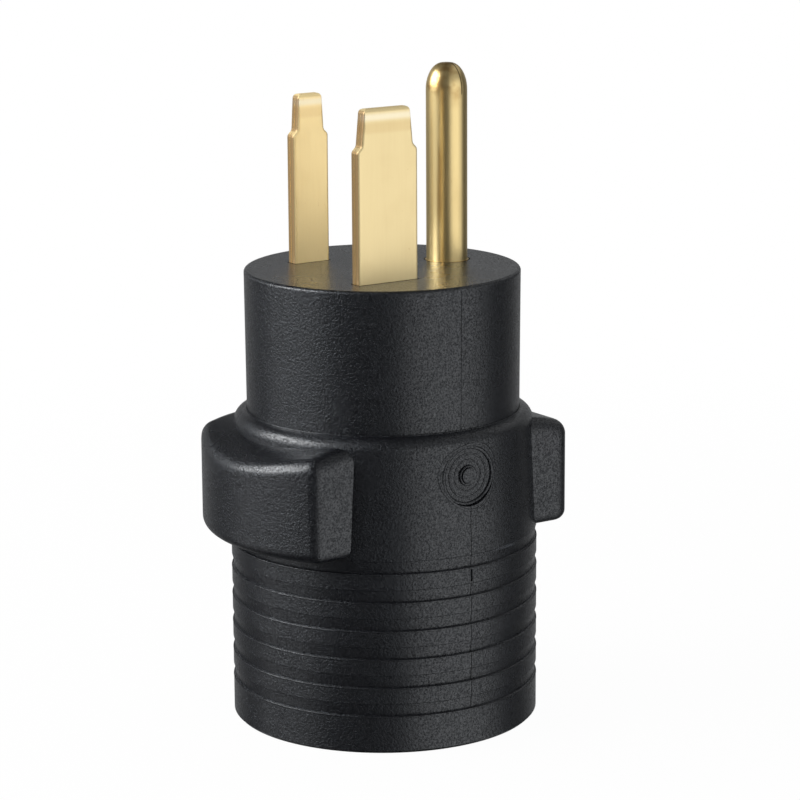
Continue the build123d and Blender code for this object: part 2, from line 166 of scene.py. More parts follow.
class Shader:
    """The nodes of one material or surround, grown from expressions on values."""

    def __init__(self, home: Union[bpy.types.Material, bpy.types.World]) -> None:
        """Empties the nodes of a material or surround.

        Args:
            home: The new material or surround.
        """
        self.home = home
        self.home.use_nodes = True
        self.tree = self.home.node_tree
        self.tree.nodes.clear()

    def node(self, kind: str, settings: Dict[str, Any], inputs: Dict[Union[str, int], Any]) -> List[Value]:
        """Adds one node of any type.

        Args:
            kind: The node's type name.
            settings: Its settings, which are set first.
            inputs: A number, colour or Value for each of its sockets, by name or index.

        Returns:
            Its output sockets, in order.
        """
        made = self.tree.nodes.new(kind)
        for name, setting in settings.items():
            setattr(made, name, setting)
        for name, given in inputs.items():
            socket = made.inputs[name]
            if isinstance(given, Value):
                self.tree.links.new(given.socket, socket)
            elif isinstance(given, tuple) and len(given) == 3 and socket.type == "RGBA":
                socket.default_value = (*given, 1.0)
            else:
                socket.default_value = given
        return [Value(self, output) for output in made.outputs]

    def noise(self, pattern: Pattern) -> Value:
        """Adds a noise of a real size.

        The grains of a noise of scale 1 are about 0.5 m wide, so its scale is 0.5 over its size.

        Args:
            pattern: The noise.

        Returns:
            The noise, around 0.5, or where it has a band, a mask from 0 to 1.
        """
        inputs = {"Vector": self.place(), "Location": (pattern.seed * MM,) * 3,
                  "Scale": tuple(1 / s for s in pattern.stretch)}
        moved = self.node("ShaderNodeMapping", {"vector_type": "POINT"}, inputs)[0]
        inputs = {"Vector": moved, "Scale": 0.5 / pattern.size, "Detail": pattern.detail,
                  "Roughness": pattern.roughness}
        noise = self.node("ShaderNodeTexNoise", {}, inputs)[0]
        return noise.over(*pattern.band) if pattern.band else noise

    def place(self) -> Value:
        """The surface point in Object coordinates, in metres."""
        return self.node("ShaderNodeTexCoord", {}, {})[3]

    def axes(self) -> List[Value]:
        """The X, Y and Z of the surface point, in metres."""
        return self.node("ShaderNodeSeparateXYZ", {}, {0: self.place()})

    def normal(self) -> List[Value]:
        """The X, Y and Z of the surface's true normal."""
        true_normal = self.node("ShaderNodeNewGeometry", {}, {})[3]
        return self.node("ShaderNodeSeparateXYZ", {}, {0: true_normal})

    def ray(self, kind: Ray) -> Value:
        """Whether the surface is seen by a ray of one kind."""
        return self.node("ShaderNodeLightPath", {}, {})[kind.value]

    def mix(self, factor: Operand, first: Union[Value, Colour], second: Union[Value, Colour]) -> Value:
        """Mixes two colours.

        Args:
            factor: The share of the second colour.
            first: A colour or Value.
            second: A colour or Value.

        Returns:
            The mixed colour.
        """
        settings = {"data_type": "RGBA", "blend_type": "MIX", "clamp_factor": True}
        return self.node("ShaderNodeMix", settings, {0: factor, 6: first, 7: second})[2]

    def bump(self, height: Value, distance: float, below: Optional[Value] = None) -> Value:
        """Adds a Bump node.

        Args:
            height: The height, from 0 to 1.
            distance: The real height of 1, in metres.
            below: The normal of a coarser bump under it.

        Returns:
            The bumped normal.
        """
        inputs = {"Height": height, "Distance": distance, "Strength": 1.0}
        if below is not None:
            inputs["Normal"] = below
        return self.node("ShaderNodeBump", {}, inputs)[0]

    def finish(self, **inputs: Any) -> bpy.types.Material:
        """Ends the material in a Principled BSDF.

        Args:
            **inputs: Its sockets, with underscores for the spaces in their names.

        Returns:
            The material.
        """
        named = {name.replace("_", " "): given for name, given in inputs.items()}
        surface = self.node("ShaderNodeBsdfPrincipled", {}, named)[0]
        self.node("ShaderNodeOutputMaterial", {}, {"Surface": surface})
        return self.home


@dataclass(frozen=True)
class MouldedPlastic:
    """Spark-textured moulded plastic: a fine even grain with pale high points and a few scuffs."""

    name: str
    colour: Colour
    worn: Colour
    roughness: float = 0.28
    specular: float = 0.40
    tint: Colour = (0.90, 0.95, 1.0)
    grain: Pattern = Pattern(0.18 * MM, 3.0, roughness=0.62)
    fine_grain: Pattern = Pattern(0.18 * MM / 2.6, 1.0, seed=7.0)
    grain_range: Pair = (0.36, 0.66)
    grain_share: float = 0.72
    grain_height: float = 0.066 * MM
    high_points: Pair = (0.60, 0.76)
    fleck: float = 0.15
    clouds: Pattern = Pattern(6 * MM, 3.0, seed=3.0)
    cloud_range: Pair = (0.3, 0.7)
    cloud_share: float = 0.5
    cloud_shade: float = 0.72
    scratches: Pattern = Pattern(0.5 * MM, 2.0, (14.0, 14.0, 1.0), seed=11.0, band=(0.66, 0.74))
    worn_patches: Pattern = Pattern(5 * MM, 2.0, seed=19.0, band=(0.60, 0.72))
    scuff: float = 0.25
    cloud_roughness: float = 0.12
    scuff_roughness: float = 0.18
    high_point_polish: float = 0.10
    sparkle: Pattern = Pattern(0.14 * MM, 1.0, seed=23.0, band=(0.30, 0.70))
    sparkle_share: float = 0.9
    sparkle_roughness: float = 0.26
    flat_gloss: float = 0.9
    flat_range: Pair = (0.9, 0.99)

    def material(self) -> bpy.types.Material:
        """Builds the finish.

        Returns:
            The material.
        """
        s = Shader(bpy.data.materials.new(self.name))
        flat = abs(s.normal()[2]).over(*self.flat_range)
        coarse = s.noise(self.grain)
        fine = s.noise(self.fine_grain)
        height = self.grain_share * coarse.over(*self.grain_range) + (1 - self.grain_share) * fine
        flecks = coarse.over(*self.high_points) * self.fleck
        scuffs = s.noise(self.scratches) * s.noise(self.worn_patches) * self.scuff * (1 - flat)
        clouds = s.noise(self.clouds)
        darker = tuple(self.cloud_shade * c for c in self.colour)
        shade = s.mix(clouds.over(*self.cloud_range) * self.cloud_share, self.colour, darker)
        roughness = self.roughness + self.cloud_roughness * (clouds - 0.5)
        roughness = roughness + self.scuff_roughness * scuffs - self.high_point_polish * flecks
        sparkle = s.noise(self.sparkle) * self.sparkle_share
        return s.finish(Base_Color=s.mix((flecks + scuffs).smaller(1.0), shade, self.worn),
                        Roughness=roughness, Specular_IOR_Level=self.specular,
                        Specular_Tint=self.tint, Coat_Tint=self.tint,
                        Coat_Weight=(sparkle * (1 + self.flat_gloss * flat)).smaller(1.0),
                        Coat_Roughness=self.sparkle_roughness,
                        Normal=s.bump(height, self.grain_height))


@dataclass(frozen=True)
class ShadedLine:
    """Painted shade for a mould line or a gap: a dark, dull colour that stands in for the shade falling in
    them, uneven in shade and never shiny.
    """

    name: str
    colour: Colour
    worn: Colour
    roughness: float = 0.6
    specular: float = 0.15
    grain: Pattern = Pattern(0.2 * MM)
    grain_height: float = 0.01 * MM
    grain_roughness: float = 0.2
    breaks: Pattern = Pattern(1.5 * MM, seed=31.0, band=(0.45, 0.7))
    break_share: float = 0.6

    def material(self) -> bpy.types.Material:
        """Builds the finish.

        Returns:
            The material.
        """
        s = Shader(bpy.data.materials.new(self.name))
        grain = s.noise(self.grain)
        # The painted shade is broken by patches of a paler colour; here worn is that paler colour, not
        # wear.
        colour = s.mix(s.noise(self.breaks) * self.break_share, self.colour, self.worn)
        return s.finish(Base_Color=colour, Specular_IOR_Level=self.specular,
                        Roughness=self.roughness + self.grain_roughness * (grain - 0.5),
                        Normal=s.bump(grain, self.grain_height))


@dataclass(frozen=True)
class RolledBrass:
    """Cold-rolled brass strip: a lengthwise rolling grain, faint stains and a satin shine."""

    name: str
    colour: Colour
    stain: Colour
    roughness: float = 0.40
    metallic: float = 1.0
    lines: Pattern = Pattern(0.16 * MM, 3.0, (1.0, 1.0, 24.0), roughness=0.6)
    line_range: Pair = (0.4, 0.7)
    line_height: float = 0.002 * MM
    line_roughness: float = 0.10
    streak_share: float = 0.04
    stains: Pattern = Pattern(2.4 * MM, 3.0, seed=13.0, band=(0.45, 0.85))
    stain_share: float = 0.10
    stain_roughness: float = 0.04
    spots: Pattern = Pattern(0.3 * MM, 1.0, (1.0, 1.0, 2.0), seed=17.0, band=(0.74, 0.84))
    spot_share: float = 0.3
    pebbles: Pattern = Pattern(0.26 * MM, 2.0, seed=37.0)
    pebble_height: float = 0.003 * MM
    waves: Pattern = Pattern(3.2 * MM, 2.0, seed=5.0)
    wave_height: float = 0.006 * MM

    def material(self) -> bpy.types.Material:
        """Builds the finish.

        Returns:
            The material.
        """
        s = Shader(bpy.data.materials.new(self.name))
        lines = s.noise(self.lines)
        stains = s.noise(self.stains)
        colour = s.mix(stains * self.stain_share, self.colour, self.stain)
        streaks = lines.over(*self.line_range) * self.streak_share
        colour = s.mix(streaks + self.spot_share * s.noise(self.spots), colour, self.stain)
        roughness = self.roughness + self.line_roughness * (lines - 0.5) + self.stain_roughness * stains
        waves = s.bump(s.noise(self.waves), self.wave_height)
        pebbles = s.bump(s.noise(self.pebbles), self.pebble_height, below=waves)
        return s.finish(Base_Color=self.worked(s, colour), Metallic=self.metallic,
                        Roughness=roughness, Normal=s.bump(lines, self.line_height, below=pebbles))

    def worked(self, s: Shader, colour: Value) -> Value:
        """Adds the marks of one kind of piece on the brass; plain strip has nothing more.

        Args:
            s: The shader.
            colour: The strip's colour.

        Returns:
            The worked colour.
        """
        return colour


@dataclass(frozen=True)
class BladeBrass(RolledBrass):
    """Blade strip: darker brown on the faces that face ±Y, the blades' cut edges, and a pale band with a
    darker one under it near the tip.
    """

    edge: Colour = linear(104, 74, 36)
    edge_share: float = 0.85
    edge_range: Pair = (0.55, 0.9)
    pale: Colour = linear(253, 243, 214)
    pale_band: Pair = (94.3 * MM, 95.2 * MM)
    pale_share: float = 0.75
    dull_band: Pair = (92.4 * MM, 93.9 * MM)
    dull_share: float = 0.25
    soft: float = 0.35 * MM

    def band(self, height: Value, ends: Pair) -> Value:
        """A soft-edged band of heights.

        Args:
            height: The surface point's height.
            ends: The band's lower and upper end.

        Returns:
            A mask from 0 to 1.
        """
        low, high = ends
        above = height.over(low - self.soft, low + self.soft)
        return above * height.over(high + self.soft, high - self.soft)

    def worked(self, s: Shader, colour: Value) -> Value:
        """Makes the faces that face ±Y darker brown, and adds the two bands near the tip.

        Args:
            s: The shader.
            colour: The strip's colour.

        Returns:
            The worked colour.
        """
        edge = abs(s.normal()[1]).over(*self.edge_range)
        height = s.axes()[2]
        colour = s.mix(self.band(height, self.dull_band) * self.dull_share, colour, self.stain)
        colour = s.mix(self.band(height, self.pale_band) * self.pale_share, colour, self.pale)
        return s.mix(edge * self.edge_share, colour, self.edge)


@dataclass(frozen=True)
class PinBrass(RolledBrass):
    """Earth pin: a fine split and darker brown patches on the top of its dome, and a brown streak up its
    side.
    """

    axis: float = 12.0 * MM
    split_turn: float = 12.3
    split_foot: Pair = (95.5 * MM, 96.0 * MM)
    split_half_width: float = 0.10 * MM
    split_share: float = 0.9
    split_colour: Colour = linear(70, 52, 26)
    streak_turn: float = -52.7
    streak_half_width: float = 0.55 * MM
    streak_breaks: Pattern = Pattern(0.8 * MM, 2.0, (1.0, 1.0, 6.0), seed=29.0, band=(0.35, 0.7))
    streak_strength: float = 0.6
    near_axis: Pair = (0.2 * MM, 0.5 * MM)
    dome: Pair = (93.0 * MM, 98.0 * MM)
    dome_patches: Pattern = Pattern(1.6 * MM, 3.0, seed=41.0, band=(0.42, 0.66))
    dome_patch_share: float = 0.9

    def meridian(self, s: Shader, turn: float, half_width: float) -> Value:
        """A narrow strip up one side of the pin.

        The strip holds the points with |c * (y - y0) - s * x| < w and c * x + s * (y - y0) > 0,
        where c and s are the turn's cosine and sine, y0 the pin's place and w half the width.
        Its sides fade from one and a half to half of w.

        Args:
            s: The shader.
            turn: Degrees from +X towards +Y.
            half_width: Half the strip's width.

        Returns:
            A mask from 0 to 1.
        """
        x, y, _ = s.axes()
        cosine, sine = math.cos(math.radians(turn)), math.sin(math.radians(turn))
        beside = abs(cosine * (y - self.axis) - sine * x)
        along = cosine * x + sine * (y - self.axis)
        return beside.over(1.5 * half_width, 0.5 * half_width) * along.over(*self.near_axis)

    def worked(self, s: Shader, colour: Value) -> Value:
        """Adds the dome's darker brown patches, the streak and the split.

        Args:
            s: The shader.
            colour: The strip's colour.

        Returns:
            The worked colour.
        """
        height = s.axes()[2]
        # The dome's top is made darker brown in noisy patches.
        dome_patches = s.noise(self.dome_patches) * height.over(*self.dome)
        streak = self.meridian(s, self.streak_turn, self.streak_half_width) * s.noise(self.streak_breaks)
        split = self.meridian(s, self.split_turn, self.split_half_width) * height.over(*self.split_foot)
        colour = s.mix(dome_patches * self.dome_patch_share, colour, self.stain)
        colour = s.mix(streak * self.streak_strength, colour, self.stain)
        return s.mix(split * self.split_share, colour, self.split_colour)


@dataclass(frozen=True)
class BrightMetal:
    """Plated or drawn metal with fine marks from its drawing or turning, under a thin dull film."""

    name: str
    colour: Colour
    dull: Colour
    roughness: float = 0.3
    marks: Pattern = Pattern(0.2 * MM, 3.0, (1.0, 1.0, 8.0))
    mark_height: float = 0.006 * MM
    mark_roughness: float = 0.2
    film: Pattern = Pattern(1.8 * MM, 3.0, seed=4.0, band=(0.45, 0.75))
    film_share: float = 0.5
    film_roughness: float = 0.1

    def material(self) -> bpy.types.Material:
        """Builds the finish.

        Returns:
            The material.
        """
        s = Shader(bpy.data.materials.new(self.name))
        marks, film = s.noise(self.marks), s.noise(self.film)
        roughness = self.roughness + self.mark_roughness * (marks - 0.5) + self.film_roughness * film
        return s.finish(Base_Color=s.mix(film * self.film_share, self.colour, self.dull), Metallic=1.0,
                        Roughness=roughness, Normal=s.bump(marks, self.mark_height))


@dataclass(frozen=True)
class SoftPlastic:
    """Extruded lead insulation: a satin skin with faint waves along the run, and a little dust."""

    name: str
    colour: Colour
    roughness: float = 0.38
    gloss: float = 0.2
    waves: Pattern = Pattern(0.9 * MM, 2.0, (1.0, 1.0, 3.0))
    wave_height: float = 0.02 * MM
    wave_share: float = 0.3
    wave_roughness: float = 0.15
    dust: Pattern = Pattern(0.25 * MM, 2.0, seed=9.0, band=(0.6, 0.75))
    dust_share: float = 0.2
    paler: float = 1.25
    dust_light: float = 0.02

    def material(self) -> bpy.types.Material:
        """Builds the finish.

        Returns:
            The material.
        """
        s = Shader(bpy.data.materials.new(self.name))
        waves, dust = s.noise(self.waves), s.noise(self.dust)
        pale = tuple(min(1.0, self.paler * c + self.dust_light) for c in self.colour)
        colour = s.mix(dust * self.dust_share, s.mix(waves * self.wave_share, self.colour, pale), pale)
        return s.finish(Base_Color=colour, Coat_Weight=self.gloss,
                        Roughness=self.roughness + self.wave_roughness * (waves - 0.5),
                        Normal=s.bump(waves, self.wave_height))


def circle(count: int) -> Tuple[np.ndarray, np.ndarray]:
    """Spreads directions evenly round the Z axis.

    Args:
        count: How many.

    Returns:
        Their angles a, and the unit vectors (cos a, sin a, 0).
    """
    angle = np.linspace(0, 2 * np.pi, count, endpoint=False)
    return angle, np.stack([np.cos(angle), np.sin(angle), 0 * angle], axis=1)


def grid_faces(rows: int, columns: int, round_rows: bool, round_columns: bool) -> np.ndarray:
    """Numbers the four corners of each face of a grid.

    Args:
        rows: Points along the first parameter.
        columns: Points along the second parameter.
        round_rows: Whether the last row joins the first.
        round_columns: Whether the last column joins the first.

    Returns:
        An array of faces by four vertex numbers.
    """
    i = np.arange(rows if round_rows else rows - 1)[:, None]
    j = np.arange(columns if round_columns else columns - 1)[None, :]
    next_i, next_j = (i + 1) % rows, (j + 1) % columns
    corners = (i * columns + j, next_i * columns + j, next_i * columns + next_j, i * columns + next_j)
    return np.stack([c.ravel() for c in corners], axis=1)


def grid_mesh(name: str, points: np.ndarray, round_rows: bool = False, round_columns: bool = False,
              cap_ends: bool = False, close_first: bool = False) -> bpy.types.Object:
    """Makes a mesh object from a grid of points.

    Args:
        name: The piece's name.
        points: Array of rows by columns by three, in metres.
        round_rows: Whether the last row joins the first.
        round_columns: Whether the last column joins the first.
        cap_ends: Whether the first and last rows are closed with a face.
        close_first: Whether the first row alone is closed with a face.

    Returns:
        The object, at the origin, with its place in its mesh.
    """
    rows, columns = points.shape[:2]
    faces = grid_faces(rows, columns, round_rows, round_columns).tolist()
    first = list(range(columns))
    if cap_ends or close_first:
        faces.append(first)
    if cap_ends:
        faces.append([(rows - 1) * columns + n for n in reversed(first)])
    mesh = bpy.data.meshes.new(name)
    mesh.from_pydata(points.reshape(-1, 3).tolist(), [], faces)
    mesh.validate()
    mesh.polygons.foreach_set("use_smooth", [True] * len(mesh.polygons))
    piece = bpy.data.objects.new(name, mesh)
    bpy.context.scene.collection.objects.link(piece)
    turn_outwards(piece)
    return piece


def sweep_bead(path: np.ndarray, outward: np.ndarray, half_width: float, half_height: float,
               closed: bool, sides: int = 8) -> np.ndarray:
    """Lays a flattened bead along a path on a surface.

    The point at angle a of the section at p is p + w * cos(a) * s + h * sin(a) * o, where o is
    the surface's normal there, s is the sideways direction (the path's tangent cross o), and w
    and h are half the width and half the height.

    Args:
        path: The path's points, an array of points by three, in metres.
        outward: The surface's unit normal at each point.
        half_width: Half the bead's width.
        half_height: Half its height; the lower half lies in the surface.
        closed: Whether the path's end joins its start.
        sides: Points round the section.

    Returns:
        Grid points for grid_mesh, with round columns.
    """
    if closed:
        tangent = np.roll(path, -1, axis=0) - np.roll(path, 1, axis=0)
    else:
        tangent = np.gradient(path, axis=0)
    sideways = np.cross(tangent, outward)
    sideways /= np.linalg.norm(sideways, axis=1, keepdims=True)
    angle, _ = circle(sides)
    across = half_width * np.cos(angle)[None, :, None] * sideways[:, None, :]
    up = half_height * np.sin(angle)[None, :, None] * outward[:, None, :]
    return path[:, None, :] + across + up


def turn_outwards(piece: bpy.types.Object) -> None:
    """Recalculates a closed piece's normals so that its faces point outwards.

    Args:
        piece: The piece.
    """
    bpy.context.view_layer.objects.active = piece
    piece.select_set(True)
    bpy.ops.object.mode_set(mode="EDIT")
    bpy.ops.mesh.select_all(action="SELECT")
    bpy.ops.mesh.normals_make_consistent(inside=False)
    bpy.ops.object.mode_set(mode="OBJECT")
    piece.select_set(False)


def dress(material: bpy.types.Material, *nodes: str) -> None:
    """Gives CAD nodes one finish.

    Args:
        material: The finish.
        *nodes: Names of the CAD nodes.
    """
    for name in nodes:
        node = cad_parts[name]
        for place in node.material_slots:
            place.material = material
        log.info("node %s dressed as %s", name, material.name)


def add_piece(piece: bpy.types.Object, material: bpy.types.Material) -> None:
    """Finishes a new piece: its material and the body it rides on.

    Args:
        piece: The piece, in place.
        material: Its finish.
    """
    piece.data.materials.append(material)
    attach(piece, BODY)
    log.info("piece %s: %d faces", piece.name, len(piece.data.polygons))


# The adapter's own finishes; the mould line and gap finishes paint shade, and the narrow blade's brass is
# a copy of the blade brass painted lighter
BLACK_GRIP = MouldedPlastic("grip vinyl", linear(14, 14, 17), linear(110, 112, 118))
BLACK_NOSE = MouldedPlastic("nose plastic", linear(14, 14, 17), linear(110, 112, 118))
INNER_PLASTIC = MouldedPlastic("inner plastic", linear(60, 58, 54), linear(110, 108, 102))
BLADE_BRASS = BladeBrass("blade brass", linear(238, 217, 164), linear(206, 170, 108), metallic=0.62)
# Painted light: a paler, less metallic copy of the blade brass for the narrow blade, so that its face,
# darker where it reflects the black prong face, comes out as bright as the wide blade's.
NARROW_BRASS_PAINTED_LIGHTER = BladeBrass("narrow blade brass", linear(252, 228, 170), linear(214, 176, 112),
                          metallic=0.52)
PIN_BRASS = PinBrass("pin brass", linear(224, 201, 144), linear(160, 122, 66), roughness=0.30,
                     metallic=0.90, pebble_height=0.009 * MM)
CONTACT_BRASS = RolledBrass("contact brass", linear(214, 176, 104), linear(150, 110, 60), roughness=0.3)
SPRING_STEEL = BrightMetal("bright steel", linear(196, 198, 200), linear(140, 138, 134))
LEAD_COPPER = BrightMetal("lead copper", linear(222, 142, 104), linear(150, 84, 58))
WHITE_JACKET = SoftPlastic("white jacket", linear(226, 224, 216))
BLACK_JACKET = SoftPlastic("black jacket", linear(30, 30, 31))
GREEN_JACKET = SoftPlastic("green jacket", linear(34, 116, 62))
# The mould line ridges are real; their colour, darker than the grip's, is painted shade, the shade the
# ridges catch.
MOULD_LINE_SHADE = ShadedLine("mould line", linear(8, 8, 10), linear(30, 30, 33))
# Painted shade for the gaps round the prongs: a dark, dull colour on the face where only shade is.
GAP_SHADE = ShadedLine("gap shade", linear(6, 6, 7), linear(16, 16, 17), roughness=0.85, specular=0.05)
CRIMP_SLEEVE = SoftPlastic("crimp sleeve", linear(176, 176, 174))


class Side(Enum):
    """The two sides that the mould line runs down."""

    WIDE = 1
    NARROW = -1


@dataclass
class GripBody:
    """The moulded grip: a barrel with rings, two finger wings and a seat for the nose."""

    barrel_radius: float = 23.71 * MM
    shoulder_radius: float = 23.11 * MM
    shoulder_height: float = 46.25 * MM
    rim: float = 0.4 * MM
    ring_count: int = 6
    ring_first: float = 27.9 * MM
    ring_pitch: float = 4.416 * MM
    ring_height: float = 1.855 * MM
    ring_depth: float = 0.32 * MM
    ring_lip: float = 0.1 * MM
    ring_lip_depth: float = 0.02 * MM
    ring_lip_drop: float = 0.12 * MM
    ring_lip_section: Pair = (0.13 * MM, 0.06 * MM)
    notch: Pair = (25.5 * MM, 27.75 * MM)
    seat_radius: float = 21.12 * MM
    seat_top: float = 48.32 * MM
    seat_section: Pair = (0.10 * MM, 0.10 * MM)
    mark_height: float = 41.8 * MM
    mark_floor: float = 22.646 * MM
    mark_rings: Tuple[Triple, ...] = (
        (1.34, 0.28, 0.34), (2.35, 0.12, 0.08), (3.3, 0.16, 0.09), (4.36, 0.34, 0.30))
    lip_radius: float = 4.98 * MM
    lip_wobble: float = 0.055
    lip_turn: float = 0.8
    lip_section: Pair = (0.2 * MM, 0.05 * MM)
    line_section: Pair = (0.06 * MM, 0.05 * MM)
    line_sides: int = 6
    ring_sides: int = 12
    body_points: int = 180
    seat_points: int = 160
    mark_points: int = 72

    def ledges(self) -> np.ndarray:
        """The heights of the rings' ledges, from the lowest up."""
        return self.ring_first - np.arange(self.ring_count)[::-1] * self.ring_pitch

    def wall(self, height: np.ndarray) -> np.ndarray:
        """The radius of the outside, rings and drafted wall.

        It joins the profile's corners with straight lines: four for each ring, and the wall's foot
        and top.

        Args:
            height: Heights over the rim.

        Returns:
            The radius at each height.
        """
        lip, top = self.ring_lip, self.ring_height
        steps = np.array([-lip, lip, top, top + lip])
        depths = np.array([0.0, self.ring_depth, self.ring_depth / 4, 0.0])
        heights = (self.ledges()[:, None] + steps[None, :]).ravel()
        radii = self.barrel_radius - np.tile(depths, self.ring_count)
        heights = np.concatenate([[self.rim], heights, [self.shoulder_height]])
        radii = np.concatenate([[self.barrel_radius], radii, [self.shoulder_radius]])
        return np.interp(height, heights, radii)

    def mould_line(self, side: Side) -> List[bpy.types.Object]:
        """Makes the fine ridges of the mould line, as beads up the wall at y = 0.

        A bead's path is (side * R(z), 0, z), with R the outside's radius at the height z.

        Args:
            side: The side of the body.

        Returns:
            The ridges; on the wide side they stop at the notch and under the mark.
        """
        bottom, top = self.ledges()[0], self.shoulder_height
        spans = [(bottom, top)]
        if side is Side.WIDE:
            spans = [(bottom, self.notch[0]), (self.notch[1], self.mark_height - self.lip_radius)]
        pieces = []
        for number, (low, high) in enumerate(spans, 1):
            height = np.linspace(low, high, 2 + int((high - low) / self.ring_lip))
            path = np.stack([side.value * self.wall(height), 0 * height, height], axis=1)
            outward = np.tile((float(side.value), 0.0, 0.0), (len(height), 1))
            bead = sweep_bead(path, outward, *self.line_section, closed=False, sides=self.line_sides)
            name = f"mould_line_{side.name.lower()}_{number}"
            pieces.append(grid_mesh(name, bead, round_columns=True, cap_ends=True))
        return pieces

    def ring_lips(self) -> List[bpy.types.Object]:
        """Makes the rounded lip under each ring's ledge: a bead round a circle.

        Returns:
            The lips, from the lowest up.
        """
        _, outward = circle(self.body_points)
        pieces = []
        for number, ledge in enumerate(self.ledges(), 1):
            middle = np.array([0, 0, ledge - self.ring_lip_drop])
            path = (self.barrel_radius - self.ring_lip_depth) * outward + middle
            bead = sweep_bead(path, outward, *self.ring_lip_section, closed=True)
            pieces.append(grid_mesh(f"ring_lip_{number}", bead, round_rows=True, round_columns=True))
        return pieces

    def mark(self) -> List[bpy.types.Object]:
        """Makes the rings of the plain round mark and the lip round it.

        A ring's path is (m, r * cos(a), z0 + r * sin(a)), with m the mark's floor. The lip's has
        the wall's own depth instead of m, the root of R(z)^2 - y^2, and its radius swells three
        times round by a share w, as r * (1 + w * cos(3 * (a - a0))), so that it is slightly
        three-sided.

        Returns:
            The rings and the lip.
        """
        angle, around = circle(self.mark_points)
        outward = np.tile((1.0, 0.0, 0.0), (len(angle), 1))
        pieces = []
        for number, ring in enumerate(self.mark_rings, 1):
            radius, half_width, half_height = (size * MM for size in ring)
            y, z = radius * around[:, 0], self.mark_height + radius * around[:, 1]
            path = np.stack([np.full_like(y, self.mark_floor), y, z], axis=1)
            bead = sweep_bead(path, outward, half_width, half_height, closed=True, sides=self.ring_sides)
            pieces.append(grid_mesh(f"mark_ring_{number}", bead, round_rows=True, round_columns=True))
        radius = self.lip_radius * (1 + self.lip_wobble * np.cos(3 * (angle - self.lip_turn)))
        y, z = radius * around[:, 0], self.mark_height + radius * around[:, 1]
        wall = self.wall(z)
        depth = np.sqrt(wall**2 - y**2)
        normal = np.stack([depth, y, 0 * y], axis=1) / wall[:, None]
        bead = sweep_bead(np.stack([depth, y, z], axis=1), normal, *self.lip_section, closed=True)
        return pieces + [grid_mesh("mark_lip", bead, round_rows=True, round_columns=True)]

    def seat_lip(self) -> bpy.types.Object:
        """Makes the thin moulding lip where the grip meets the nose: a bead round a circle.

        Returns:
            The lip.
        """
        _, outward = circle(self.seat_points)
        path = self.seat_radius * outward + np.array([0, 0, self.seat_top])
        bead = sweep_bead(path, outward, *self.seat_section, closed=True)
        return grid_mesh("seat_lip", bead, round_rows=True, round_columns=True)

    def build(self) -> None:
        """Dresses the grip body and adds its mark, its lips and its mould line."""
        vinyl = BLACK_GRIP.material()
        dress(vinyl, "grip_body")
        for piece in self.mark() + self.ring_lips() + [self.seat_lip()]:
            add_piece(piece, vinyl)
        # The mould line ridges get the darker finish: painted shade on real ridges.
        line = MOULD_LINE_SHADE.material()
        for side in Side:
            for piece in self.mould_line(side):
                add_piece(piece, line)


@dataclass
class PlugNose:
    """The prong end: its face and the round skirt that reaches into the grip."""

    foot_radius: float = 21.01 * MM
    top_radius: float = 21.155 * MM
    foot: float = 48.5 * MM
    top: float = 69.5 * MM
    line_section: Pair = (0.045 * MM, 0.04 * MM)
    line_points: int = 24

    def mould_line(self, side: Side) -> bpy.types.Object:
        """Makes the fine ridge of the mould line up the nose's flared wall, at y = 0.

        Args:
            side: The side of the nose.

        Returns:
            The ridge.
        """
        height = np.linspace(self.foot, self.top, self.line_points)
        radius = np.interp(height, (self.foot, self.top), (self.foot_radius, self.top_radius))
        path = np.stack([side.value * radius, 0 * height, height], axis=1)
        outward = np.tile((float(side.value), 0.0, 0.0), (len(height), 1))
        bead = sweep_bead(path, outward, *self.line_section, closed=False)
        return grid_mesh(f"nose_line_{side.name.lower()}", bead, round_columns=True, cap_ends=True)

    def build(self) -> None:
        """Dresses the nose and the socket insert, and adds the nose's mould line."""
        plastic = BLACK_NOSE.material()
        dress(plastic, "plug_nose", "socket_insert")
        # The nose's mould line ridges get the darker finish: painted shade on real ridges.
        line = MOULD_LINE_SHADE.material()
        for side in Side:
            add_piece(self.mould_line(side), line)


